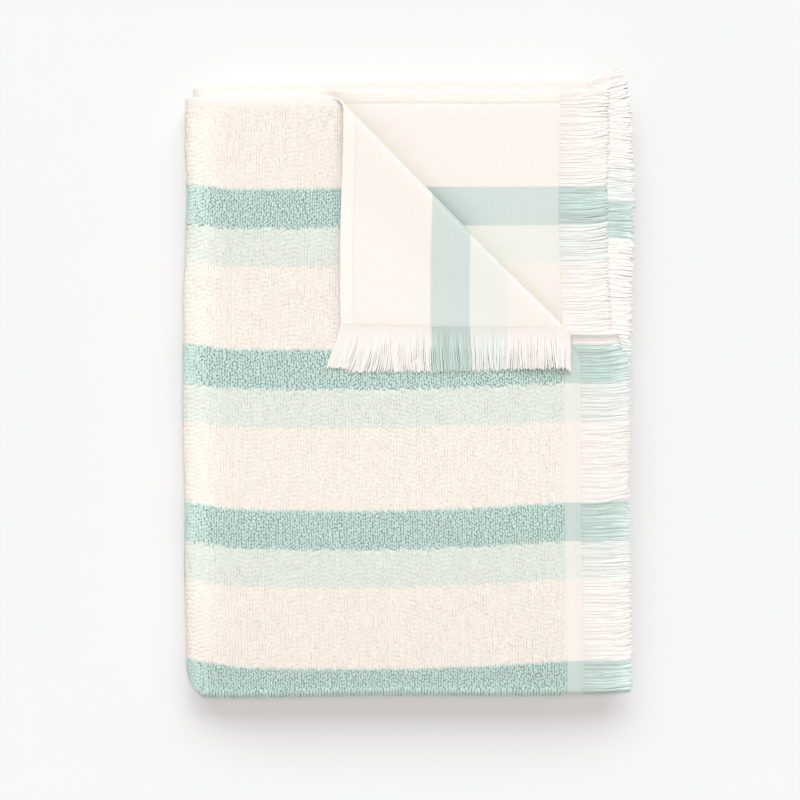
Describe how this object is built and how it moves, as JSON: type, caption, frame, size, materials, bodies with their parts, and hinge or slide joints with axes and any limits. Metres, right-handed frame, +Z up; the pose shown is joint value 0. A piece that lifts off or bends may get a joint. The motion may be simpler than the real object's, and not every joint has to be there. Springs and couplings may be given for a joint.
{
  "type": "beach towel",
  "caption": "Striped cotton terry beach towel with fringed ends, folded into a flat pack with a corner turned back.",
  "frame": {"origin": "centre of the folded pack's footprint, on the surface that it lies on", "axes": "+X towards the fringed ends, +Y towards the selvedges, away from the fold across the width, +Z up through the layers"},
  "size_m": [0.3356, 0.4696, 0.0444],
  "materials": {
    "terry_cotton": "looped cotton pile with cream, dark green and light green stripes, flat weave on the reverse",
    "fringe_yarn": "matt cotton warp yarn, in the colours of the stripes"
  },
  "bodies": {
    "root": {"towel_cloth": "terry_cotton", "fringe_corner": "fringe_yarn", "fringe_top": "fringe_yarn", "fringe_bottom": "fringe_yarn", "fringe_second": "fringe_yarn", "fringe_third": "fringe_yarn"}
  },
  "joints": []
}
